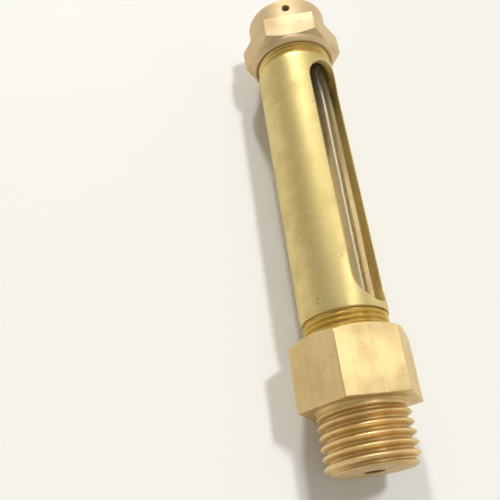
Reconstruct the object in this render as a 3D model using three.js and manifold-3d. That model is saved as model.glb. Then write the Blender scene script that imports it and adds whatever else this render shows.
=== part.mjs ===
// Brass tube sight gauge: a pipe-threaded hex base, a slotted shell over a glass tube, and a vented cap.
// Millimetres, +Z up. The gauge lies on its side with its axis along +Y, from the thread to the cap.
import * as THREE from "three";
import { mergeVertices } from "three/addons/utils/BufferGeometryUtils.js";
import Module from "manifold-3d";

const wasm = await Module();
wasm.setup();

// Driving dimensions
const OVERALL_LENGTH = 78.8;
const RADIAL_STEPS = 36; // facets round every turned surface
const THREAD_STEPS = 18; // facets in one turn of a thread
const FIT_GAP = 0.05; // between pieces that touch face to face

// Stations along the axis, from the free end of the pipe thread
const STEM_LENGTH = 8.5;
const BASE_HEX_TOP = STEM_LENGTH + 9.8;
const SHELL_SHOULDER = BASE_HEX_TOP + 2.8;
const WINDOW_START = SHELL_SHOULDER + 1.1;
const WINDOW_END = WINDOW_START + 43.65;
const SHELL_NECK = WINDOW_END + 1.15;
const CAP_START = SHELL_NECK + 1.9;
const CAP_FLATS_START = CAP_START + 1.05;
const CAP_FLATS_END = CAP_START + 5.4;

// The hexagons, across their flats
const BASE_HEX = 15.875;
const CAP_HEX = 14.7;
const CHAMFER_ANGLE = Math.PI / 6; // of the base hexagon's corners, on the shell side
const CAP_TURN = THREE.MathUtils.degToRad(-14.4); // how far round the cap stands from the base
const WINDOW_TURN = THREE.MathUtils.degToRad(39); // the window's direction, from straight up

// Pipe thread G 1/4 on the stem, and the fine 1/2-32 thread that joins the shell to the base and the cap.
// depth is how far a ridge stands out; foot and crest are its axial widths at the bottom and the top.
const PIPE_THREAD = { radius: 6.5785, depth: 0.83, pitch: 1.337, foot: 1.22, crest: 0.2 };
const SHELL_THREAD = { radius: 6.35, depth: 0.49, pitch: 0.79375, foot: 0.6, crest: 0.06 };
const SOCKET_THREAD = { radius: 6.5, depth: 0.48, pitch: 0.79375, foot: 0.68, crest: 0.22 };

// Shell, glass and gaskets
const SHELL_RADIUS = 6.55;
const SHELL_BORE = 5.5;
const WINDOW_HALF_WIDTH = 3.9;
const GLASS_RADIUS = 5.2;
const GLASS_BORE = 3.7;
const GASKET_RADIUS = 5.4;
const GASKET_BORE = 3.2;
const GASKET_THICKNESS = 1.6;
const WASHER_THICKNESS = 0.5; // lets the cap turn without dragging its gasket
const WASHER_BORE = 2.9;

// Stem and base passages
const SHANK_LENGTH = 1.0; // plain length of the stem beside the hex
const SHANK_RADIUS = 6.33;
const SEAT_RELIEF = 0.15; // shallow ring that keeps the seat clear of the stem
const STEM_PASSAGE = 1.25;
const SOCKET_FLOOR = BASE_HEX_TOP - 6.6;
const SHELL_FOOT = BASE_HEX_TOP - 4.6;
const SOCKET_RELIEF = 6.55; // clears the thread at the blind end of a socket

// Cap
const CAP_CORNER_RADIUS = 8.47;
const CAP_CORNER_DROP = 0.65; // the corners are chamfered this much on the shell side
const CAP_ROUND_RADIUS = 6.82;
const CAP_COLLAR_RADIUS = 7.3;
const CAP_MOUTH_RADIUS = 6.55;
const SHELL_HEAD = SHELL_NECK + 6.2;
const CAP_CEILING = SHELL_HEAD + 1.6;
const WASHER_START = CAP_CEILING - FIT_GAP - WASHER_THICKNESS;
const VENT_RADIUS = 0.65;
const VENT_STATION = CAP_FLATS_END + 2.24;
const VENT_CHAMBER_RADIUS = 2.6;
const VENT_CHAMBER_END = OVERALL_LENGTH - 1.3;
const TOP_ROUND = 0.45;

const GLASS_START = SOCKET_FLOOR + FIT_GAP + GASKET_THICKNESS + FIT_GAP;
const GLASS_END = WASHER_START - FIT_GAP - GASKET_THICKNESS - FIT_GAP;

// The cap's corners reach a little lower than the base's flats, so they set the height of the axis.
const capLowest = (CAP_HEX / 2 / Math.cos(Math.PI / 6)) * Math.cos(Math.PI / 6 - Math.abs(CAP_TURN));
const AXIS_HEIGHT = Math.max(BASE_HEX / 2, capLowest);

const BRASS = { color: 0xc9a24c, roughness: 0.32, metalness: 1 };
const TURNED_BRASS = { color: 0xcda66a, roughness: 0.28, metalness: 1 };
const GLASS = { color: 0xdfe8e4, roughness: 0.03, metalness: 0, transparent: true, opacity: 0.35 };
const NITRILE = { color: 0x1e1c1b, roughness: 0.75, metalness: 0 };

// Solids
function solidOf(geometry) {
  const bare = geometry.clone();
  bare.deleteAttribute("normal");
  bare.deleteAttribute("uv");
  const merged = mergeVertices(bare, 1e-4);
  return new wasm.Manifold(
    new wasm.Mesh({
      numProp: 3,
      vertProperties: merged.attributes.position.array,
      triVerts: new Uint32Array(merged.index.array),
    }),
  );
}

// A turned piece, from [radius, station] pairs that run from the axis or round a closed ring.
function turned(outline) {
  const points = outline.map(([radius, station]) => new THREE.Vector2(radius, station));
  return solidOf(new THREE.LatheGeometry(points, RADIAL_STEPS));
}

function rod(radius, start, end) {
  return turned([[0, start], [radius, start], [radius, end], [0, end]]);
}

function tube(radius, bore, start, end) {
  return rod(radius, start, end).subtract(rod(bore, start - 1, end + 1));
}

// A hexagonal bar with one flat facing up, turned by an angle about the axis.
function hexBar(acrossFlats, start, end, angle = 0) {
  const cornerRadius = acrossFlats / 2 / Math.cos(Math.PI / 6);
  const bar = new THREE.CylinderGeometry(cornerRadius, cornerRadius, end - start, 6);
  bar.rotateY(Math.PI / 6 + angle).translate(0, (start + end) / 2, 0);
  return solidOf(bar);
}

// The ridge of a right-hand thread, which fades in and out over half a turn at each end.
// Its angle depends only on the station, so threads of one pitch are in step wherever they start.
function threadRidge({ radius, depth, pitch, foot, crest }, start, end) {
  const firstStep = Math.round((start / pitch) * THREAD_STEPS);
  const lastStep = Math.round((end / pitch) * THREAD_STEPS);
  const sunk = 0.12; // how far the ridge's foot is sunk in the core
  const sides = 6;
  const positions = [];
  const indices = [];
  for (let step = firstStep; step <= lastStep; step++) {
    const angle = (step / THREAD_STEPS) * 2 * Math.PI;
    const middle = (step / THREAD_STEPS) * pitch;
    const turnsFromEnd = Math.min(step - firstStep, lastStep - step) / THREAD_STEPS;
    const top = radius - depth + depth * Math.max(0.05, Math.min(1, turnsFromEnd * 2));
    const section = [
      [radius - depth - sunk, -foot / 2],
      [radius - depth, -foot / 2],
      [top, -crest / 2],
      [top, crest / 2],
      [radius - depth, foot / 2],
      [radius - depth - sunk, foot / 2],
    ];
    for (const [r, along] of section) {
      positions.push(r * Math.sin(angle), middle + along, r * Math.cos(angle));
    }
  }
  const steps = lastStep - firstStep;
  for (let step = 0; step < steps; step++) {
    for (let side = 0; side < sides; side++) {
      const a = step * sides + side;
      const b = step * sides + ((side + 1) % sides);
      indices.push(a, a + sides, b, b, a + sides, b + sides);
    }
  }
  for (let side = 1; side < sides - 1; side++) {
    const last = steps * sides;
    indices.push(0, side, side + 1);
    indices.push(last, last + side + 1, last + side);
  }
  const ridge = new THREE.BufferGeometry();
  ridge.setAttribute("position", new THREE.Float32BufferAttribute(positions, 3));
  ridge.setIndex(indices);
  return solidOf(ridge);
}

// A threaded rod; its root core runs from start to end and the ridge lies between.
function threadedRod(thread, start, end, ridgeStart = start, ridgeEnd = end) {
  const core = rod(thread.radius - thread.depth, start, end);
  return core.add(threadRidge(thread, ridgeStart, ridgeEnd));
}

function node(name, solid, material) {
  const { vertProperties, triVerts, numProp, numVert } = solid.getMesh();
  const positions = new Float32Array(numVert * 3);
  for (let i = 0; i < numVert; i++) {
    positions.set(vertProperties.subarray(i * numProp, i * numProp + 3), i * 3);
  }
  const geometry = new THREE.BufferGeometry();
  geometry.setAttribute("position", new THREE.BufferAttribute(positions, 3));
  geometry.setIndex(new THREE.BufferAttribute(triVerts, 1));
  geometry.computeVertexNormals();
  const mesh = new THREE.Mesh(geometry, new THREE.MeshStandardMaterial(material));
  mesh.name = name;
  return mesh;
}

// Pieces
function baseFitting() {
  const corner = BASE_HEX / 2 / Math.cos(Math.PI / 6);
  const chamferDrop = (corner + 1 - BASE_HEX / 2) * Math.tan(CHAMFER_ANGLE);
  const chamfer = turned([
    [0, STEM_LENGTH - 1],
    [corner + 1, STEM_LENGTH - 1],
    [corner + 1, BASE_HEX_TOP - chamferDrop],
    [BASE_HEX / 2, BASE_HEX_TOP],
    [0, BASE_HEX_TOP],
  ]);
  const hex = hexBar(BASE_HEX, STEM_LENGTH, BASE_HEX_TOP).intersect(chamfer);

  const { radius, depth, pitch } = PIPE_THREAD;
  const endFace = radius - depth - 0.05;
  const stemEnvelope = turned([
    [0, 0],
    [endFace, 0],
    [radius + 0.1, radius + 0.1 - endFace],
    [radius + 0.1, STEM_LENGTH + 0.5],
    [0, STEM_LENGTH + 0.5],
  ]);
  const stem = threadedRod(PIPE_THREAD, 0, STEM_LENGTH + 0.5, -pitch / 2, STEM_LENGTH - SHANK_LENGTH)
    .intersect(stemEnvelope)
    .add(rod(SHANK_RADIUS, STEM_LENGTH - SHANK_LENGTH, STEM_LENGTH + 0.5));
  const seatRelief = tube(radius + SEAT_RELIEF, SHANK_RADIUS, STEM_LENGTH - 1, STEM_LENGTH + SEAT_RELIEF);

  const socketThread = threadedRod(
    SOCKET_THREAD,
    SHELL_FOOT - 1,
    BASE_HEX_TOP + 1,
    SHELL_FOOT - SHELL_THREAD.pitch,
    BASE_HEX_TOP + SHELL_THREAD.pitch,
  );
  const mouth = turned([
    [0, BASE_HEX_TOP - 0.5],
    [SOCKET_THREAD.radius - SOCKET_THREAD.depth, BASE_HEX_TOP - 0.5],
    [SOCKET_THREAD.radius + 0.25, BASE_HEX_TOP + 0.1],
    [0, BASE_HEX_TOP + 0.1],
  ]);
  return hex
    .subtract(seatRelief)
    .add(stem)
    .subtract(rod(STEM_PASSAGE, -1, BASE_HEX_TOP))
    .subtract(rod(GASKET_RADIUS + 0.2, SOCKET_FLOOR, BASE_HEX_TOP))
    .subtract(rod(SOCKET_RELIEF, SHELL_FOOT - 0.9, SHELL_FOOT))
    .subtract(socketThread)
    .subtract(mouth);
}

// A slot with round ends that runs from the axis out through one side of the shell.
function windowCutter() {
  const slot = new THREE.Shape();
  const low = WINDOW_START + WINDOW_HALF_WIDTH;
  const high = WINDOW_END - WINDOW_HALF_WIDTH;
  slot.absarc(0, low, WINDOW_HALF_WIDTH, Math.PI, 2 * Math.PI, false);
  slot.absarc(0, high, WINDOW_HALF_WIDTH, 0, Math.PI, false);
  const reach = SHELL_RADIUS + 2;
  const cutter = new THREE.ExtrudeGeometry(slot, { depth: reach, bevelEnabled: false, curveSegments: 14 });
  cutter.rotateY(WINDOW_TURN);
  return solidOf(cutter);
}

function sightShell() {
  const root = SHELL_THREAD.radius - SHELL_THREAD.depth;
  const lead = SHELL_THREAD.pitch;
  const foot = threadedRod(SHELL_THREAD, SHELL_FOOT, SHELL_SHOULDER + 0.5, SHELL_FOOT - lead * 0.4, SHELL_SHOULDER);
  const headStart = SHELL_NECK;
  const head = threadedRod(SHELL_THREAD, headStart - 0.5, SHELL_HEAD, headStart, SHELL_HEAD + lead * 0.4);
  const barrel = turned([
    [0, SHELL_SHOULDER],
    [SHELL_RADIUS - 0.15, SHELL_SHOULDER],
    [SHELL_RADIUS, SHELL_SHOULDER + 0.15],
    [SHELL_RADIUS, SHELL_NECK - 0.15],
    [SHELL_RADIUS - 0.15, SHELL_NECK],
    [0, SHELL_NECK],
  ]);
  const ends = turned([
    [0, SHELL_FOOT],
    [root, SHELL_FOOT],
    [SHELL_RADIUS, SHELL_FOOT + SHELL_RADIUS - root],
    [SHELL_RADIUS, SHELL_HEAD - SHELL_RADIUS + root],
    [root, SHELL_HEAD],
    [0, SHELL_HEAD],
  ]);
  return barrel
    .add(foot)
    .add(head)
    .intersect(ends)
    .subtract(rod(SHELL_BORE, SHELL_FOOT - 1, SHELL_HEAD + 1))
    .subtract(windowCutter());
}

function ventCap() {
  const blank = turned([
    [0, CAP_START],
    [CAP_COLLAR_RADIUS - 0.35, CAP_START],
    [CAP_COLLAR_RADIUS, CAP_START + 0.75],
    [CAP_COLLAR_RADIUS, CAP_FLATS_START],
    [CAP_CORNER_RADIUS, CAP_FLATS_START + CAP_CORNER_DROP],
    [CAP_CORNER_RADIUS, CAP_FLATS_END],
    [CAP_ROUND_RADIUS, CAP_FLATS_END],
    [CAP_ROUND_RADIUS, OVERALL_LENGTH - TOP_ROUND],
    [CAP_ROUND_RADIUS - TOP_ROUND * 0.3, OVERALL_LENGTH - TOP_ROUND * 0.3],
    [CAP_ROUND_RADIUS - TOP_ROUND, OVERALL_LENGTH],
    [0, OVERALL_LENGTH],
  ]);
  // The wrench flats are milled into the blank, so a ring round the hexagon is taken away.
  const flats = rod(CAP_CORNER_RADIUS + 1, CAP_FLATS_START - 0.01, CAP_FLATS_END).subtract(
    hexBar(CAP_HEX, CAP_FLATS_START - 1, CAP_FLATS_END + 1, CAP_TURN),
  );
  const socketThread = threadedRod(
    SOCKET_THREAD,
    CAP_START - 1,
    SHELL_HEAD + 0.5,
    CAP_START - SHELL_THREAD.pitch,
    SHELL_HEAD + SHELL_THREAD.pitch / 2,
  );
  const mouth = rod(CAP_MOUTH_RADIUS, CAP_START - 1, CAP_START + 0.5);
  const vent = new THREE.CylinderGeometry(VENT_RADIUS, VENT_RADIUS, CAP_ROUND_RADIUS + 1, 16);
  vent.rotateX(Math.PI / 2).translate(0, VENT_STATION, (CAP_ROUND_RADIUS + 1) / 2);
  vent.rotateY(CAP_TURN);
  return blank
    .subtract(flats)
    .subtract(socketThread)
    .subtract(mouth)
    .subtract(rod(SOCKET_RELIEF, SHELL_HEAD - 0.2, SHELL_HEAD + 0.6))
    .subtract(rod(GASKET_RADIUS + 0.2, CAP_START, CAP_CEILING))
    .subtract(rod(VENT_CHAMBER_RADIUS, CAP_CEILING - 1, VENT_CHAMBER_END))
    .subtract(solidOf(vent));
}

const gauge = new THREE.Group();
gauge.position.set(0, -OVERALL_LENGTH / 2, AXIS_HEIGHT);
const lowerGasket = tube(GASKET_RADIUS, GASKET_BORE, SOCKET_FLOOR + FIT_GAP, GLASS_START - FIT_GAP);
const upperGasket = tube(GASKET_RADIUS, GASKET_BORE, GLASS_END + FIT_GAP, WASHER_START - FIT_GAP);
const slipWasher = tube(GASKET_RADIUS, WASHER_BORE, WASHER_START, CAP_CEILING - FIT_GAP);
gauge.add(
  node("base_fitting", baseFitting(), TURNED_BRASS),
  node("lower_gasket", lowerGasket, NITRILE),
  node("glass_tube", tube(GLASS_RADIUS, GLASS_BORE, GLASS_START, GLASS_END), GLASS),
  node("sight_shell", sightShell(), BRASS),
  node("upper_gasket", upperGasket, NITRILE),
  node("slip_washer", slipWasher, BRASS),
  node("vent_cap", ventCap(), TURNED_BRASS),
);

export default gauge;
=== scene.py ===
# A brass sight gauge lying on a pale table. The axis runs along +Y, from the pipe thread to the cap.
import math

import bmesh
import bpy
import numpy as np
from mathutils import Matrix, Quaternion, Vector


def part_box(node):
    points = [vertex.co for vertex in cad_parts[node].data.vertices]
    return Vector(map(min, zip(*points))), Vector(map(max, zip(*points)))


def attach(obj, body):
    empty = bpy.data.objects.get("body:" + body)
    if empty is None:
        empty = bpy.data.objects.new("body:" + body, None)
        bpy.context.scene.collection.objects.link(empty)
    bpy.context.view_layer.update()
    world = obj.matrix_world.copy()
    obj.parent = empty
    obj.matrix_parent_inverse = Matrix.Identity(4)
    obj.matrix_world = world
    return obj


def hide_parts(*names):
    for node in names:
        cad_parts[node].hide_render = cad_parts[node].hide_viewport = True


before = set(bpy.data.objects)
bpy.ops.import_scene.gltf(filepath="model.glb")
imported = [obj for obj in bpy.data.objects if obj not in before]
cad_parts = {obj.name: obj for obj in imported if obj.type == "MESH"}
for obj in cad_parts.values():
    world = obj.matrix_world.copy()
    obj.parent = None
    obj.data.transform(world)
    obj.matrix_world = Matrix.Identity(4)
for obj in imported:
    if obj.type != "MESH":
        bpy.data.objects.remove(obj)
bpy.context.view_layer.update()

mm = 0.001

baseLow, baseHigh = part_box("base_fitting")
shellLow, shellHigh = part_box("sight_shell")
capLow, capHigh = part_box("vent_cap")
axisHeight = (baseLow.z + baseHigh.z) / 2
stemEnd = baseLow.y


def stationOf(y):  # millimetres from the free end of the pipe thread
    return (y - stemEnd) / mm


hexTop = stationOf(baseHigh.y)
shellFoot = stationOf(shellLow.y)
shellHead = stationOf(shellHigh.y)
capMouth = stationOf(capLow.y)
capTop = stationOf(capHigh.y)


def evenAngles(count):
    return np.arange(count) * 2 * math.pi / count


def hexAngles(turn, cornerHalf, perSide):
    # corners get extra columns, so that their small round stays round
    near = np.radians(np.array([-1, -0.5, 0, 0.5]) * cornerHalf)
    between = np.linspace(math.radians(cornerHalf), math.radians(60 - cornerHalf), perSide, endpoint=False)
    side = np.concatenate([near, between])
    sides = [side + math.radians(30 + 60 * k) + turn for k in range(6)]
    return np.concatenate(sides)


def hexRadius(angles, turn, acrossFlats, cornerRound):
    inner = (acrossFlats / 2 - cornerRound) / math.cos(math.pi / 6)
    fromCorner = np.abs((angles - turn) % math.radians(60) - math.radians(30))
    tangent = math.atan2(cornerRound * 0.5, inner + cornerRound * math.cos(math.pi / 6))
    flat = acrossFlats / 2 / np.cos(math.pi / 6 - fromCorner)
    sweep = np.minimum(fromCorner, tangent)
    arc = inner * np.cos(sweep) + np.sqrt(cornerRound**2 - (inner * np.sin(sweep)) ** 2)
    return np.where(fromCorner < tangent, arc, flat)


def threadDepth(phase, flankAngle, rounding):
    # depth below the crest in pitches, with round crests and roots; phase 0 is the crest
    away = np.abs((phase + 0.5) % 1 - 0.5)
    flank = math.radians(flankAngle)
    arcEnd = rounding * math.cos(flank)
    arcDepth = rounding * (1 - math.sin(flank))
    full = 2 * (arcDepth + (0.25 - arcEnd) / math.tan(flank))
    crest = rounding - np.sqrt(rounding**2 - np.minimum(away, arcEnd) ** 2)
    root = full - (rounding - np.sqrt(rounding**2 - np.minimum(0.5 - away, arcEnd) ** 2))
    slope = arcDepth + (away - arcEnd) / math.tan(flank)
    return np.where(away < arcEnd, crest, np.where(away > 0.5 - arcEnd, root, slope))


def softOutline(corners, columns, steps=4):
    # corners: (radius, station, softness, finish); radius and station may differ from column to column
    points = [
        np.stack([np.broadcast_to(np.asarray(c[0], float), (columns,)),
                  np.broadcast_to(np.asarray(c[1], float), (columns,))], 1)
        for c in corners
    ]
    rows, finishes = [], []
    for i, (corner, here) in enumerate(zip(corners, points)):
        if not corner[2] or i in (0, len(corners) - 1):
            rows.append(here)
            finishes.append(corner[3])
            continue
        arms = []
        for other in (points[i - 1], points[i + 1]):
            arm = other - here
            length = np.maximum(np.linalg.norm(arm, axis=1, keepdims=True), 1e-9)
            arms.append(arm / length * np.minimum(corner[2], 0.45 * length))
        for step in range(steps + 1):
            t = step / steps
            rows.append(here + arms[0] * (1 - t) ** 2 + arms[1] * t**2)
            finishes.append(corner[3])
    return rows, finishes


def threadRows(start, end, angles, thread, finish, limit=None, rowsPerPitch=20):
    # one row for each small step along the axis; the helix turns right-handed about +Y
    rows = []
    count = max(2, round(abs(end - start) / thread["pitch"] * rowsPerPitch))
    for station in np.linspace(start, end, count):
        phase = station / thread["pitch"] - angles / (2 * math.pi)
        radius = thread["crest"] - thread["pitch"] * threadDepth(phase, thread["flank"], thread["rounding"])
        if limit:
            radius = limit(station, radius)
        rows.append(np.stack([radius, np.full_like(angles, station)], 1))
    return rows, [finish] * len(rows)


def gridFaces(rows, columns, closeRows, closeColumns, offset=0):
    faces = []
    lastRow = rows if closeRows else rows - 1
    lastColumn = columns if closeColumns else columns - 1
    for i in range(lastRow):
        for j in range(lastColumn):
            a = i * columns + j
            b = i * columns + (j + 1) % columns
            c = ((i + 1) % rows) * columns + (j + 1) % columns
            d = ((i + 1) % rows) * columns + j
            faces.append((a + offset, b + offset, c + offset, d + offset))
    return faces


def toWorld(radius, station, angles):
    across, up = radius * mm * np.sin(angles), radius * mm * np.cos(angles)
    return np.stack([across, stemEnd + station * mm, axisHeight + up], -1)


def finishMesh(name, points, faces, finishes, materials, sharpAngle=40):
    mesh = bpy.data.meshes.new(name)
    mesh.from_pydata(points.tolist(), [], faces)
    for material in materials:
        mesh.materials.append(material)
    mesh.polygons.foreach_set("material_index", finishes)
    work = bmesh.new()
    work.from_mesh(mesh)
    bmesh.ops.remove_doubles(work, verts=work.verts, dist=2e-7)
    bmesh.ops.dissolve_degenerate(work, edges=work.edges, dist=1e-7)
    bmesh.ops.recalc_face_normals(work, faces=work.faces)
    work.to_mesh(mesh)
    work.free()
    mesh.shade_smooth()
    mesh.set_sharp_from_angle(angle=math.radians(sharpAngle))
    piece = bpy.data.objects.new(name, mesh)
    bpy.context.scene.collection.objects.link(piece)
    return piece


def turnedMesh(name, rows, finishes, angles, materials, ring):
    # ring: the outline closes on itself; otherwise it runs from axis to axis
    grid = np.array(rows)
    points = toWorld(grid[..., 0], grid[..., 1], angles[None, :]).reshape(-1, 3)
    faces = gridFaces(len(rows), len(angles), ring, True)
    perRow = len(angles)
    faceFinishes = [finishes[k // perRow] for k in range(len(faces))]
    return finishMesh(name, points, faces, faceFinishes, materials)


def placePiece(piece, body, node):
    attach(piece, body)
    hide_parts(node)
    return piece


def newGroup(name, inputs, outputs):
    group = bpy.data.node_groups.new(name, "ShaderNodeTree")
    for label, kind, value in inputs:
        socket = group.interface.new_socket(label, in_out="INPUT", socket_type=kind)
        if value is not None:
            socket.default_value = value
    for label, kind in outputs:
        group.interface.new_socket(label, in_out="OUTPUT", socket_type=kind)
    return group, group.nodes.new("NodeGroupInput"), group.nodes.new("NodeGroupOutput")


def mathNode(tree, operation, a, b=None, clamp=False):
    node = tree.nodes.new("ShaderNodeMath")
    node.operation = operation
    node.use_clamp = clamp
    for socket, value in zip(node.inputs, (a, b)):
        if value is None:
            continue
        if isinstance(value, (int, float)):
            socket.default_value = value
        else:
            tree.links.new(value, socket)
    return node.outputs[0]


def mixColour(tree, factor, a, b, blend="MIX"):
    node = tree.nodes.new("ShaderNodeMix")
    node.data_type = "RGBA"
    node.blend_type = blend
    for name, value in (("Factor_Float", factor), ("A_Color", a), ("B_Color", b)):
        socket = next(s for s in node.inputs if s.identifier == name)
        if isinstance(value, (int, float, tuple)):
            socket.default_value = value
        else:
            tree.links.new(value, socket)
    return next(s for s in node.outputs if s.identifier == "Result_Color")


def remap(tree, value, low, high, toLow=0.0, toHigh=1.0):
    node = tree.nodes.new("ShaderNodeMapRange")
    node.clamp = True
    tree.links.new(value, node.inputs["Value"])
    for label, number in (("From Min", low), ("From Max", high), ("To Min", toLow), ("To Max", toHigh)):
        if isinstance(number, (int, float)):
            node.inputs[label].default_value = number
        else:
            tree.links.new(number, node.inputs[label])
    return node.outputs["Result"]


def noiseNode(tree, vector, scale, detail=3.0, roughness=0.5):
    node = tree.nodes.new("ShaderNodeTexNoise")
    node.noise_dimensions = "3D"
    tree.links.new(vector, node.inputs["Vector"])
    node.inputs["Detail"].default_value = detail
    node.inputs["Roughness"].default_value = roughness
    if isinstance(scale, (int, float)):
        node.inputs["Scale"].default_value = scale
    else:
        tree.links.new(scale, node.inputs["Scale"])
    return node.outputs["Fac"]


def stretched(tree, vector, scales):
    node = tree.nodes.new("ShaderNodeMapping")
    tree.links.new(vector, node.inputs["Vector"])
    node.inputs["Scale"].default_value = scales
    return node.outputs["Vector"]


def makeEdgeWearGroup():
    group, inlet, outlet = newGroup(
        "edgeWear",
        [("Width", "NodeSocketFloat", 0.0004), ("Amount", "NodeSocketFloat", 1.0)],
        [("Mask", "NodeSocketFloat")],
    )
    bevel = group.nodes.new("ShaderNodeBevel")
    bevel.samples = 4
    group.links.new(inlet.outputs["Width"], bevel.inputs["Radius"])
    geometry = group.nodes.new("ShaderNodeNewGeometry")
    dot = group.nodes.new("ShaderNodeVectorMath")
    dot.operation = "DOT_PRODUCT"
    group.links.new(bevel.outputs["Normal"], dot.inputs[0])
    group.links.new(geometry.outputs["Normal"], dot.inputs[1])
    edge = remap(group, dot.outputs["Value"], 0.995, 0.90)
    coords = group.nodes.new("ShaderNodeTexCoord")
    broken = remap(group, noiseNode(group, coords.outputs["Object"], 900.0), 0.35, 0.6)
    worn = mathNode(group, "MULTIPLY", edge, broken)
    mask = mathNode(group, "MULTIPLY", worn, inlet.outputs["Amount"], clamp=True)
    group.links.new(mask, outlet.inputs["Mask"])
    return group


def makeTarnishGroup():
    # two sizes of stain and fine specks, as masks from 0 to 1
    group, inlet, outlet = newGroup(
        "tarnish",
        [("Blotch Scale", "NodeSocketFloat", 160.0), ("Speck Scale", "NodeSocketFloat", 1800.0),
         ("Speck Level", "NodeSocketFloat", 0.62)],
        [("Blotches", "NodeSocketFloat"), ("Specks", "NodeSocketFloat")],
    )
    coords = group.nodes.new("ShaderNodeTexCoord")
    vector = coords.outputs["Object"]
    blotch = noiseNode(group, vector, inlet.outputs["Blotch Scale"], 5.0, 0.62)
    group.links.new(remap(group, blotch, 0.40, 0.72), outlet.inputs["Blotches"])
    speck = noiseNode(group, vector, inlet.outputs["Speck Scale"], 2.0, 0.5)
    patches = remap(group, noiseNode(group, vector, 260.0, 2.0), 0.45, 0.7, 0.0, 0.07)
    level = mathNode(group, "SUBTRACT", inlet.outputs["Speck Level"], patches)
    over = mathNode(group, "SUBTRACT", speck, level)
    group.links.new(mathNode(group, "MULTIPLY", over, 9.0, clamp=True), outlet.inputs["Specks"])
    return group


def makeGrainGroup():
    # fine tool marks: round the axis on turned faces, along it on drawn flats
    group, inlet, outlet = newGroup(
        "toolMarks",
        [("Turned", "NodeSocketFloat", 1.0)],
        [("Height", "NodeSocketFloat"), ("Streaks", "NodeSocketFloat")],
    )
    coords = group.nodes.new("ShaderNodeTexCoord")
    vector = coords.outputs["Object"]
    around = noiseNode(group, stretched(group, vector, (60.0, 9000.0, 60.0)), 1.0, 4.0, 0.6)
    along = noiseNode(group, stretched(group, vector, (5200.0, 90.0, 5200.0)), 1.0, 4.0, 0.6)
    node = group.nodes.new("ShaderNodeMix")
    node.data_type = "FLOAT"
    group.links.new(inlet.outputs["Turned"], node.inputs[0])
    group.links.new(along, node.inputs[2])
    group.links.new(around, node.inputs[3])
    group.links.new(node.outputs[0], outlet.inputs["Height"])
    group.links.new(remap(group, node.outputs[0], 0.35, 0.65), outlet.inputs["Streaks"])
    return group


def makeGrooveGroup():
    # 1 at the bottom of a thread, 0 at its crest, from the distance to the axis
    group, inlet, outlet = newGroup(
        "threadGroove",
        [("Root", "NodeSocketFloat", 0.0058), ("Crest", "NodeSocketFloat", 0.0064)],
        [("Mask", "NodeSocketFloat")],
    )
    coords = group.nodes.new("ShaderNodeTexCoord")
    parts = group.nodes.new("ShaderNodeSeparateXYZ")
    group.links.new(coords.outputs["Object"], parts.inputs[0])
    upright = mathNode(group, "SUBTRACT", parts.outputs["Z"], axisHeight)
    square = mathNode(group, "MULTIPLY", upright, upright)
    across = mathNode(group, "MULTIPLY", parts.outputs["X"], parts.outputs["X"])
    radius = mathNode(group, "SQRT", mathNode(group, "ADD", square, across))
    mask = remap(group, radius, inlet.outputs["Root"], inlet.outputs["Crest"], 1.0, 0.0)
    group.links.new(mask, outlet.inputs["Mask"])
    return group


effectGroups = {
    "edgeWear": makeEdgeWearGroup(), "tarnish": makeTarnishGroup(), "toolMarks": makeGrainGroup(),
    "threadGroove": makeGrooveGroup(),
}


def useGroup(tree, name, **values):
    node = tree.nodes.new("ShaderNodeGroup")
    node.node_tree = effectGroups[name]
    for label, value in values.items():
        node.inputs[label.replace("_", " ")].default_value = value
    return node.outputs


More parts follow.
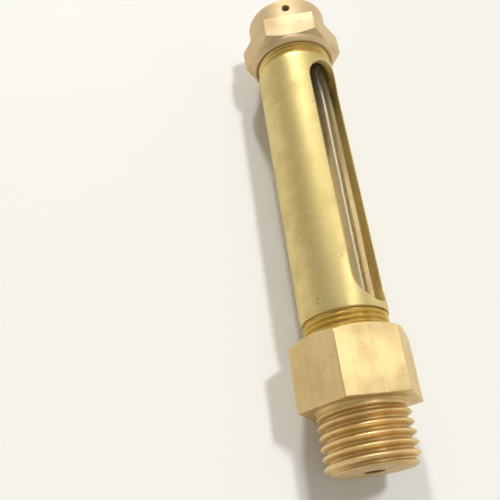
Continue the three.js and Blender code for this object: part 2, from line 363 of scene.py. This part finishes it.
brassFinishes = {
    "shell": {
        "colour": (0.75, 0.61, 0.26), "stain": (0.46, 0.34, 0.12),
        "speck": (0.16, 0.12, 0.05), "bright": (0.90, 0.80, 0.44),
        "roughness": 0.42, "stainAmount": 0.52, "speckAmount": 0.55, "speckLevel": 0.70,
        "turned": 1.0, "grain": 0.16, "groove": 0.0, "root": 5.8, "crest": 6.4, "metal": 1.0,
    },
    # the bore is a lightened copy of the shell brass: painted light on top of the brass colour, so that the
    # inside reads as lit through the glass
    "bore": {
        "colour": (0.95, 0.74, 0.36), "stain": (0.72, 0.50, 0.22),
        "speck": (0.16, 0.10, 0.05), "bright": (0.96, 0.80, 0.46),
        "roughness": 0.50, "stainAmount": 0.45, "speckAmount": 0.3, "speckLevel": 0.70,
        "turned": 1.0, "grain": 0.2, "groove": 0.0, "root": 5.8, "crest": 6.4, "metal": 0.15,
    },
    "neck": {
        "colour": (0.80, 0.62, 0.22), "stain": (0.48, 0.30, 0.08),
        "speck": (0.12, 0.08, 0.03), "bright": (0.92, 0.76, 0.34),
        "roughness": 0.38, "stainAmount": 0.3, "speckAmount": 0.4, "speckLevel": 0.70,
        "turned": 1.0, "grain": 0.2, "groove": 0.20, "root": 5.85, "crest": 6.3, "metal": 1.0,
    },
    "base": {
        "colour": (0.75, 0.57, 0.27), "stain": (0.52, 0.34, 0.14),
        "speck": (0.12, 0.08, 0.05), "bright": (0.92, 0.78, 0.46),
        "roughness": 0.46, "stainAmount": 0.45, "speckAmount": 0.5, "speckLevel": 0.70,
        "turned": 0.0, "grain": 0.30, "groove": 0.0, "root": 5.8, "crest": 6.4, "metal": 1.0,
    },
    "thread": {
        "colour": (0.90, 0.66, 0.32), "stain": (0.40, 0.22, 0.09),
        "speck": (0.10, 0.06, 0.04), "bright": (0.94, 0.78, 0.42),
        "roughness": 0.44, "stainAmount": 0.45, "speckAmount": 0.5, "speckLevel": 0.68,
        "turned": 1.0, "grain": 0.3, "groove": 0.30, "root": 5.75, "crest": 6.5, "metal": 1.0,
    },
    "passage": {
        "colour": (0.20, 0.10, 0.05), "stain": (0.10, 0.05, 0.03),
        "speck": (0.05, 0.03, 0.02), "bright": (0.30, 0.17, 0.08),
        "roughness": 0.60, "stainAmount": 0.45, "speckAmount": 0.5, "speckLevel": 0.68,
        "turned": 1.0, "grain": 0.3, "groove": 0.0, "root": 5.8, "crest": 6.4, "metal": 0.8,
    },
    "cap": {
        "colour": (0.73, 0.57, 0.34), "stain": (0.54, 0.38, 0.20),
        "speck": (0.14, 0.10, 0.06), "bright": (0.92, 0.80, 0.54),
        "roughness": 0.60, "stainAmount": 0.40, "speckAmount": 0.4, "speckLevel": 0.71,
        "turned": 1.0, "grain": 0.25, "groove": 0.0, "root": 5.8, "crest": 6.4, "metal": 1.0,
    },
}


def opaque(colour):
    return (*colour, 1.0)


def makeBrass(name):
    look = brassFinishes[name]
    material = bpy.data.materials.new(name + "Brass")
    material.use_nodes = True
    tree = material.node_tree
    shader = tree.nodes["Principled BSDF"]
    tarnish = useGroup(tree, "tarnish", Speck_Level=look["speckLevel"])
    marks = useGroup(tree, "toolMarks", Turned=look["turned"])
    wear = useGroup(tree, "edgeWear", Width=0.00025)
    groove = useGroup(tree, "threadGroove", Root=look["root"] * mm, Crest=look["crest"] * mm)
    stain = mathNode(tree, "MULTIPLY", tarnish["Blotches"], look["stainAmount"])
    colour = mixColour(tree, stain, opaque(look["colour"]), opaque(look["stain"]))
    streak = mathNode(tree, "MULTIPLY", marks["Streaks"], look["grain"])
    colour = mixColour(tree, streak, colour, opaque(look["bright"]))
    # the thread roots are painted darker than the crests
    threadRootDarkening = mathNode(tree, "MULTIPLY", groove["Mask"], look["groove"])
    colour = mixColour(tree, threadRootDarkening, colour, opaque(tuple(0.5 * c for c in look["stain"])))
    speck = mathNode(tree, "MULTIPLY", tarnish["Specks"], look["speckAmount"])
    colour = mixColour(tree, speck, colour, opaque(look["speck"]))
    colour = mixColour(tree, mathNode(tree, "MULTIPLY", wear["Mask"], 0.7), colour, opaque(look["bright"]))
    tree.links.new(colour, shader.inputs["Base Color"])
    shader.inputs["Metallic"].default_value = look["metal"]
    rough = mathNode(tree, "ADD", look["roughness"], mathNode(tree, "MULTIPLY", stain, 0.35))
    rough = mathNode(tree, "ADD", rough, mathNode(tree, "MULTIPLY", speck, 0.4))
    rough = mathNode(tree, "SUBTRACT", rough, mathNode(tree, "MULTIPLY", wear["Mask"], 0.08), clamp=True)
    tree.links.new(rough, shader.inputs["Roughness"])
    bump = tree.nodes.new("ShaderNodeBump")
    bump.inputs["Strength"].default_value = 0.25
    bump.inputs["Distance"].default_value = 0.00001
    height = mathNode(tree, "ADD", marks["Height"], mathNode(tree, "MULTIPLY", speck, -1.5))
    tree.links.new(height, bump.inputs["Height"])
    tree.links.new(bump.outputs["Normal"], shader.inputs["Normal"])
    return material


def makeGlass():
    material = bpy.data.materials.new("clearGlass")
    material.use_nodes = True
    tree = material.node_tree
    shader = tree.nodes["Principled BSDF"]
    coords = tree.nodes.new("ShaderNodeTexCoord")
    dust = noiseNode(tree, coords.outputs["Object"], 700.0, 4.0)
    tree.links.new(remap(tree, dust, 0.45, 0.75, 0.02, 0.06), shader.inputs["Roughness"])
    shader.inputs["Base Color"].default_value = (0.99, 0.98, 0.94, 1.0)
    shader.inputs["Metallic"].default_value = 0.0
    shader.inputs["Transmission Weight"].default_value = 1.0
    shader.inputs["IOR"].default_value = 1.17
    bump = tree.nodes.new("ShaderNodeBump")
    bump.inputs["Strength"].default_value = 0.04
    bump.inputs["Distance"].default_value = 0.00002
    drawn = noiseNode(tree, stretched(tree, coords.outputs["Object"], (900.0, 30.0, 900.0)), 1.0, 2.0)
    tree.links.new(drawn, bump.inputs["Height"])
    tree.links.new(bump.outputs["Normal"], shader.inputs["Normal"])
    return material


def makeRubber():
    material = bpy.data.materials.new("gasketRubber")
    material.use_nodes = True
    tree = material.node_tree
    shader = tree.nodes["Principled BSDF"]
    coords = tree.nodes.new("ShaderNodeTexCoord")
    mottle = noiseNode(tree, coords.outputs["Object"], 1500.0, 4.0)
    colour = mixColour(tree, mottle, (0.012, 0.011, 0.010, 1.0), (0.04, 0.037, 0.034, 1.0))
    tree.links.new(colour, shader.inputs["Base Color"])
    tree.links.new(remap(tree, mottle, 0.3, 0.7, 0.6, 0.85), shader.inputs["Roughness"])
    bump = tree.nodes.new("ShaderNodeBump")
    bump.inputs["Strength"].default_value = 0.3
    bump.inputs["Distance"].default_value = 0.00003
    tree.links.new(mottle, bump.inputs["Height"])
    tree.links.new(bump.outputs["Normal"], shader.inputs["Normal"])
    return material


brass = {name: makeBrass(name) for name in brassFinishes}
glassMaterial = makeGlass()
rubberMaterial = makeRubber()
print("finishes made")

pipeThread = {"crest": 6.58, "pitch": 1.337, "flank": 27.5, "rounding": 0.1373}
fineThread = {"crest": 6.35, "pitch": 0.79375, "flank": 30.0, "rounding": 0.08}
socketThread = {"crest": 6.50, "pitch": 0.79375, "flank": 30.0, "rounding": 0.08}


baseValues = {
    "acrossFlats": 15.875, "cornerRound": 0.16, "edgeRound": 0.14, "chamferCircle": 7.72, "chamferAngle": 30,
    "cornerSweep": 1.1, "flatColumns": 30, "stemLength": 8.5, "neckLength": 0.6, "neckRadius": 6.33,
    "passage": 1.25, "countersink": 0.3, "endFace": 5.55, "leadStep": 0.15, "leadSlope": 1.1,
    "socketMouth": 6.75, "socketWall": 5.6, "socketFloor": 6.6, "threadInside": 4.6,
}


def makeBaseFitting():
    v = baseValues
    angles = hexAngles(0.0, v["cornerSweep"], v["flatColumns"])
    columns = len(angles)
    corner = hexRadius(angles, 0.0, v["acrossFlats"], v["cornerRound"])
    chamferStart = hexTop - (corner - v["chamferCircle"]) * math.tan(math.radians(v["chamferAngle"]))
    neckStart = v["stemLength"] - v["neckLength"]

    def stemLimit(station, radius):
        lead = v["endFace"] + v["leadStep"] + station * v["leadSlope"]  # the turned lead-in at the free end
        runOut = np.clip((station - neckStart + 0.45) / 0.4, 0, 1)
        return np.minimum(radius, lead) * (1 - runOut) + v["neckRadius"] * runOut

    rows, finishes = softOutline([
        (v["passage"], 6.0, 0, 2),
        (v["passage"], v["countersink"], 0.05, 2),
        (v["passage"] + v["countersink"], 0.0, 0, 1),
        (v["endFace"], 0.0, 0.12, 1),
        (v["endFace"] + v["leadStep"], 0.12, 0, 1),
    ], columns)
    stem = threadRows(0.14, neckStart, angles, pipeThread, 1, stemLimit)
    body = softOutline([
        (v["neckRadius"], neckStart + 0.05, 0, 0),
        (v["neckRadius"], v["stemLength"], 0.3, 0),
        (corner, v["stemLength"], v["edgeRound"], 0),
        (corner, chamferStart, v["edgeRound"], 0),
        (v["chamferCircle"], hexTop, v["edgeRound"], 0),
        (v["socketMouth"], hexTop, 0.1, 0),
        (socketThread["crest"] - 0.5, hexTop - 0.65, 0, 0),
    ], columns)
    socket = threadRows(
        hexTop - 0.7, hexTop - v["threadInside"] + 0.2, angles, socketThread, 0, rowsPerPitch=10)
    inside = softOutline([
        (6.5, hexTop - v["threadInside"], 0, 0),
        (6.5, hexTop - v["threadInside"] - 0.6, 0, 0),
        (v["socketWall"], hexTop - v["threadInside"] - 0.6, 0, 0),
        (v["socketWall"], hexTop - v["socketFloor"], 0, 0),
        (v["passage"], hexTop - v["socketFloor"], 0, 0),
    ], columns)
    for part in (stem, body, socket, inside):
        rows += part[0]
        finishes += part[1]
    materials = [brass["base"], brass["thread"], brass["passage"]]
    return turnedMesh("baseFitting", rows, finishes, angles, materials, True)


shellValues = {
    "radius": 6.55, "bore": 5.5, "barrelStart": 21.1, "barrelEnd": 67.0, "edgeRound": 0.16,
    "windowStart": 22.2, "windowEnd": 65.85, "windowHalf": 3.9, "windowTurn": 39,
    "windowEdge": 0.16, "boreEdge": 0.08, "rootDrop": 0.55, "leadSlope": 1.3,
    "columns": 84, "tipSteps": 18, "straightSteps": 18, "rowsPerPitch": 18,
}


def windowOutline(extra):
    # (station, half width) pairs along the window, from its low round end to its high one, grown by extra
    v = shellValues
    half = v["windowHalf"] + extra
    lowCentre = v["windowStart"] + v["windowHalf"]
    highCentre = v["windowEnd"] - v["windowHalf"]
    sweep = np.linspace(0, math.pi / 2, v["tipSteps"] + 1)
    straight = np.linspace(lowCentre, highCentre, v["straightSteps"])[1:-1]
    points = [(lowCentre - half * math.cos(s), half * math.sin(s)) for s in sweep]
    points += [(station, half) for station in straight]
    points += [(highCentre + half * math.cos(s), half * math.sin(s)) for s in sweep[::-1]]
    return points


def makeShell():
    v = shellValues
    turn = math.radians(v["windowTurn"])
    share = np.linspace(0, 1, v["columns"] + 1)
    outerOutline = windowOutline(v["windowEdge"])
    innerOutline = windowOutline(v["boreEdge"])

    def sideAngles(half, radius, side):
        edge = math.asin(min(half / radius, 1))
        return turn + side * (edge + share * (math.pi - edge))

    # each row: (radius from angles, station, half width of the window, finish)
    def plain(radius):
        return lambda angles: np.full_like(angles, radius)

    def threadRadius(station, limit):
        def radius(angles):
            phase = station / fineThread["pitch"] - angles / (2 * math.pi)
            depth = fineThread["pitch"] * threadDepth(phase, fineThread["flank"], fineThread["rounding"])
            return np.minimum(fineThread["crest"] - depth, limit)
        return radius

    root = fineThread["crest"] - v["rootDrop"]
    rows = [
        (plain(v["bore"]), shellFoot + 0.1, 0, 2),
        (plain(v["bore"] + 0.1), shellFoot, 0, 1),
        (plain(root), shellFoot, 0, 1),
    ]
    count = round((v["barrelStart"] - 0.25 - shellFoot) / fineThread["pitch"] * v["rowsPerPitch"])
    for station in np.linspace(shellFoot + 0.02, v["barrelStart"] - 0.25, count):
        rows.append((threadRadius(station, root + (station - shellFoot) * v["leadSlope"]), station, 0, 1))
    edge = v["edgeRound"]
    rows.append((plain(root + 0.1), v["barrelStart"] - 0.18, 0, 1))
    rows.append((plain(root + 0.12), v["barrelStart"], 0, 0))
    for step in range(5):
        s = step / 4 * math.pi / 2
        radius = v["radius"] - edge + edge * math.sin(s)
        rows.append((plain(radius), v["barrelStart"] + edge - edge * math.cos(s), 0, 0))
    for station, half in outerOutline:
        rows.append((plain(v["radius"]), station, half, 0))
    for step in range(5):
        s = step / 4 * math.pi / 2
        radius = v["radius"] - edge + edge * math.cos(s)
        rows.append((plain(radius), v["barrelEnd"] - edge + edge * math.sin(s), 0, 0))
    rows.append((plain(root + 0.12), v["barrelEnd"], 0, 0))
    rows.append((plain(root + 0.1), v["barrelEnd"] + 0.18, 0, 1))
    count = round((shellHead - v["barrelEnd"] - 0.25) / fineThread["pitch"] * v["rowsPerPitch"])
    for station in np.linspace(v["barrelEnd"] + 0.25, shellHead - 0.02, count):
        rows.append((threadRadius(station, root + (shellHead - station) * v["leadSlope"]), station, 0, 1))
    rows += [
        (plain(root), shellHead, 0, 1),
        (plain(v["bore"] + 0.1), shellHead, 0, 1),
        (plain(v["bore"]), shellHead - 0.1, 0, 2),
    ]
    for station, half in reversed(innerOutline):
        rows.append((plain(v["bore"]), station, half, 2))

    points, faces, finishes = [], [], []
    for side in (1, -1):
        patch = []
        for radius, station, half, finish in rows:
            onBore = half and radius(np.zeros(1))[0] < v["bore"] + 0.5
            angles = sideAngles(half, v["bore"] if onBore else v["radius"], side)
            patch.append(toWorld(radius(angles), np.full_like(angles, station), angles))
        patch = np.array(patch)
        faces += gridFaces(len(rows), v["columns"] + 1, True, False, sum(len(p) for p in points))
        finishes += [rows[i][3] for i in range(len(rows)) for j in range(v["columns"])]
        points.append(patch.reshape(-1, 3))

    # the cut wall of the window, from the outer face in to the bore
    steps = 4
    edgeOut, edgeIn = v["windowEdge"], v["boreEdge"]
    levels = []
    for step in range(steps + 1):
        s = step / steps * math.pi / 2
        levels.append((edgeOut * (1 - math.sin(s)), v["radius"] - edgeOut * (1 - math.cos(s))))
    levels += [(0.0, v["bore"] + edgeIn), (edgeIn, v["bore"])]
    for side in (1, -1):
        rings = []
        for extra, radius in levels:
            outline = np.array(windowOutline(extra))
            angles = turn + side * np.arcsin(np.minimum(outline[:, 1] / radius, 1))
            rings.append(toWorld(np.full_like(angles, radius), outline[:, 0], angles))
        rings = np.array(rings)
        faces += gridFaces(rings.shape[0], rings.shape[1], False, False, sum(len(p) for p in points))
        finishes += [0] * ((rings.shape[0] - 1) * (rings.shape[1] - 1))
        points.append(rings.reshape(-1, 3))
    # finish 2, the bore, carries painted light: it is painted lighter than the shell brass
    materials = [brass["shell"], brass["neck"], brass["bore"]]
    return finishMesh("sightShell", np.concatenate(points), faces, finishes, materials)


def makeRing(name, node, outer, bore, softness, material):
    low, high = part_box(node)
    start, end = stationOf(low.y), stationOf(high.y)
    angles = evenAngles(160)
    middle = (start + end) / 2
    rows, finishes = softOutline([
        (bore, middle, 0, 0), (bore, start, softness, 0), (outer, start, softness, 0),
        (outer, end, softness, 0), (bore, end, softness, 0), (bore, middle + 0.001, 0, 0),
    ], len(angles))
    return turnedMesh(name, rows, finishes, angles, [material], True)


ringValues = {
    "glassTube": {"node": "glass_tube", "outer": 5.2, "bore": 3.7, "softness": 0.5},
    "lowerGasket": {"node": "lower_gasket", "outer": 5.4, "bore": 3.2, "softness": 0.3},
    "upperGasket": {"node": "upper_gasket", "outer": 5.4, "bore": 3.2, "softness": 0.3},
    "slipWasher": {"node": "slip_washer", "outer": 5.4, "bore": 2.9, "softness": 0.1},
}


capValues = {
    "acrossFlats": 14.7, "turn": -14.4, "cornerRound": 0.16, "edgeRound": 0.14, "cornerSweep": 1.1,
    "flatColumns": 30, "collar": 7.3, "collarFoot": 6.95, "flatsStart": 1.05, "flatsEnd": 5.4,
    "cornerSlope": 0.5556, "round": 6.82, "topRound": 0.45, "mouth": 6.55, "ceiling": 5.9, "chamber": 2.6,
    "roof": 1.3, "ventRadius": 0.65, "ventStation": 7.64, "ventBite": 0.12, "threadInside": 4.3,
}


def makeCap():
    v = capValues
    turn = math.radians(v["turn"])
    angles = hexAngles(turn, v["cornerSweep"], v["flatColumns"])
    columns = len(angles)
    corner = hexRadius(angles, turn, v["acrossFlats"], v["cornerRound"])
    cornerStart = capMouth + v["flatsStart"] + (corner - v["collar"]) * v["cornerSlope"]

    def at(offset):
        return capMouth + offset

    rows, finishes = softOutline([
        (0.0, capTop, 0, 0),
        (v["round"], capTop, v["topRound"], 0),
        (v["round"], at(v["flatsEnd"]), 0.12, 0),
        (corner, at(v["flatsEnd"]), v["edgeRound"], 0),
        (corner, cornerStart, v["edgeRound"], 0),
        (v["collar"], at(v["flatsStart"]), 0.1, 0),
        (v["collar"], at(0.75), 0.2, 0),
        (v["collarFoot"], capMouth, 0.12, 0),
        (v["mouth"], capMouth, 0.06, 0),
        (v["mouth"], at(0.5), 0, 0),
        (socketThread["crest"] - 0.5, at(0.55), 0, 0),
    ], columns, steps=5)
    socket = threadRows(at(0.6), at(v["threadInside"]), angles, socketThread, 0, rowsPerPitch=10)
    inside = softOutline([
        (6.5, at(v["threadInside"] + 0.1), 0, 0),
        (6.5, at(v["threadInside"] + 0.6), 0, 0),
        (5.6, at(v["threadInside"] + 0.6), 0, 0),
        (5.6, at(v["ceiling"]), 0, 0),
        (v["chamber"], at(v["ceiling"]), 0, 0),
        (v["chamber"], capTop - v["roof"], 0, 0),
        (0.0, capTop - v["roof"], 0, 0),
    ], columns)
    for part in (socket, inside):
        rows += part[0]
        finishes += part[1]
    cap = turnedMesh("ventCap", rows, finishes, angles, [brass["cap"]], False)
    drillVent(cap, turn)
    return cap


def drillVent(cap, turn):
    v = capValues
    angles = evenAngles(48)
    outer, bite, r = v["round"], v["ventBite"], v["ventRadius"]
    profile = [(0.0, 1.0), (r, 1.0), (r, outer - bite), (r + 0.35, outer + 0.25), (0.0, outer + 0.25)]
    rows = [np.tile([radius, height], (len(angles), 1)) for radius, height in profile]
    grid = np.array(rows) * mm
    local = np.stack([grid[..., 0] * np.sin(angles), grid[..., 0] * np.cos(angles), grid[..., 1]], -1)
    local = local.reshape(-1, 3)
    outward = np.array([math.sin(turn), 0, math.cos(turn)])
    across = np.array([math.cos(turn), 0, -math.sin(turn)])
    along = np.array([0, 1, 0])
    centre = np.array([0, stemEnd + (capMouth + v["ventStation"]) * mm, axisHeight])
    points = centre + local[:, :1] * across + local[:, 1:2] * along + local[:, 2:] * outward
    faces = gridFaces(len(profile), len(angles), False, True)
    drill = finishMesh("ventDrill", points, faces, [0] * len(faces), [brass["cap"]])
    modifier = cap.modifiers.new("vent", "BOOLEAN")
    modifier.operation = "DIFFERENCE"
    modifier.object = drill
    modifier.solver = "EXACT"
    bpy.context.view_layer.update()
    drilled = bpy.data.meshes.new_from_object(cap.evaluated_get(bpy.context.evaluated_depsgraph_get()))
    cap.modifiers.clear()
    cap.data = drilled
    bpy.data.objects.remove(drill)
    drilled.shade_smooth()
    drilled.set_sharp_from_angle(angle=math.radians(40))


placePiece(makeBaseFitting(), "base", "base_fitting")
print("base fitting made")
placePiece(makeShell(), "shell", "sight_shell")
print("shell made")
placePiece(makeCap(), "cap", "vent_cap")
print("cap made")

ringBodies = {
    "glassTube": ("glass", "clear_glass", glassMaterial),
    "lowerGasket": ("base", "gasket_rubber", rubberMaterial),
    "upperGasket": ("cap_packing", "gasket_rubber", rubberMaterial),
    "slipWasher": ("cap_packing", "shell_brass", brass["shell"]),
}
for ringName, values in ringValues.items():
    body, slotName, material = ringBodies[ringName]
    ring = makeRing(ringName, values["node"], values["outer"], values["bore"], values["softness"], material)
    placePiece(ring, body, values["node"])
    if ringName == "glassTube":
        ring.visible_shadow = False  # light reaches the bore behind the clear tube
print("glass and seals made")


stageValues = {
    "tableSize": 3.0, "tableColour": (0.86, 0.86, 0.84),
    "horizon": (0.46, 0.42, 0.36), "zenith": (0.42, 0.41, 0.38),
}


def makeTable():
    v = stageValues
    half = v["tableSize"] / 2
    mesh = bpy.data.meshes.new("table")
    corners = [(-half, -half, 0), (half, -half, 0), (half, half, 0), (-half, half, 0)]
    mesh.from_pydata(corners, [], [(0, 1, 2, 3)])
    material = bpy.data.materials.new("paleTable")
    material.use_nodes = True
    tree = material.node_tree
    shader = tree.nodes["Principled BSDF"]
    coords = tree.nodes.new("ShaderNodeTexCoord")
    mottle = noiseNode(tree, coords.outputs["Object"], 30.0, 3.0)
    base = v["tableColour"]
    colour = mixColour(tree, mottle, (*base, 1.0), (base[0] * 0.98, base[1] * 0.98, base[2] * 0.97, 1.0))
    tree.links.new(colour, shader.inputs["Base Color"])
    shader.inputs["Roughness"].default_value = 0.6
    table = bpy.data.objects.new("table", mesh)
    mesh.materials.append(material)
    bpy.context.scene.collection.objects.link(table)


lightValues = {
    # each sun is split in two, so that its gloss on the brass is set apart from its light on matt surfaces
    "keyOnTable": {
        "kind": "SUN", "from": (0.28, 0.25, 1.0),
        "strength": 1.28, "size": 6.5, "on": "diffuse",
    },
    "keyOnBrass": {
        "kind": "SUN", "from": (0.28, 0.25, 1.0),
        "strength": 0.52, "size": 12.0, "on": "glossy",
    },
    "backOnTable": {
        "kind": "SUN", "from": (-0.20, 1.70, 1.0),
        "strength": 1.65, "size": 5.0, "on": "diffuse",
    },
    "backOnBrass": {
        "kind": "SUN", "from": (-0.20, 1.70, 1.0),
        "strength": 1.70, "size": 8.0, "on": "glossy",
    },
    "strip": {
        "kind": "AREA", "from": (0.47, 0.20, 0.17),
        "strength": 0.5, "size": (0.9, 0.03), "on": "glossy",
    },
}


def makeLights():
    for name, v in lightValues.items():
        data = bpy.data.lights.new(name, v["kind"])
        data.energy = v["strength"]
        light = bpy.data.objects.new(name, data)
        light.location = v["from"]
        if v["kind"] == "SUN":
            data.angle = math.radians(v["size"])
            light.rotation_euler = Vector(v["from"]).to_track_quat("Z", "Y").to_euler()
        else:
            data.shape = "RECTANGLE"
            data.size, data.size_y = v["size"]
            light.rotation_euler = Vector((v["from"][0], 0, v["from"][2])).to_track_quat("Z", "Y").to_euler()
        light.visible_diffuse = v["on"] == "diffuse"
        light.visible_glossy = v["on"] == "glossy"
        light.visible_transmission = False
        bpy.context.scene.collection.objects.link(light)


def makeWorld():
    world = bpy.data.worlds.new("studio")
    world.use_nodes = True
    tree = world.node_tree
    coords = tree.nodes.new("ShaderNodeTexCoord")
    parts = tree.nodes.new("ShaderNodeSeparateXYZ")
    tree.links.new(coords.outputs["Generated"], parts.inputs[0])
    height = remap(tree, parts.outputs["Z"], 0.0, 1.0)
    colour = mixColour(tree, height, (*stageValues["horizon"], 1.0), (*stageValues["zenith"], 1.0))
    tree.links.new(colour, tree.nodes["Background"].inputs["Color"])
    bpy.context.scene.world = world
    bpy.context.scene.view_settings.view_transform = "Standard"


cameraValues = {"place": (-30.58, -48.84, 96.39), "aim": (-12.50, -5.81, 8.17), "roll": 17.42, "lens": 47.63}


def makeCamera():
    v = cameraValues
    data = bpy.data.cameras.new("camera")
    data.lens = v["lens"]
    data.sensor_width = 36
    data.clip_start = 0.005
    camera = bpy.data.objects.new("camera", data)
    place, aim = Vector(v["place"]) * mm, Vector(v["aim"]) * mm
    look = (aim - place).to_track_quat("-Z", "Y")
    camera.location = place
    camera.rotation_mode = "QUATERNION"
    roll = Vector((0, 0, 1))
    camera.rotation_quaternion = look @ Quaternion(roll, math.radians(v["roll"]))
    bpy.context.scene.collection.objects.link(camera)
    bpy.context.scene.camera = camera


makeTable()
makeLights()
makeWorld()
makeCamera()
print("stage set")
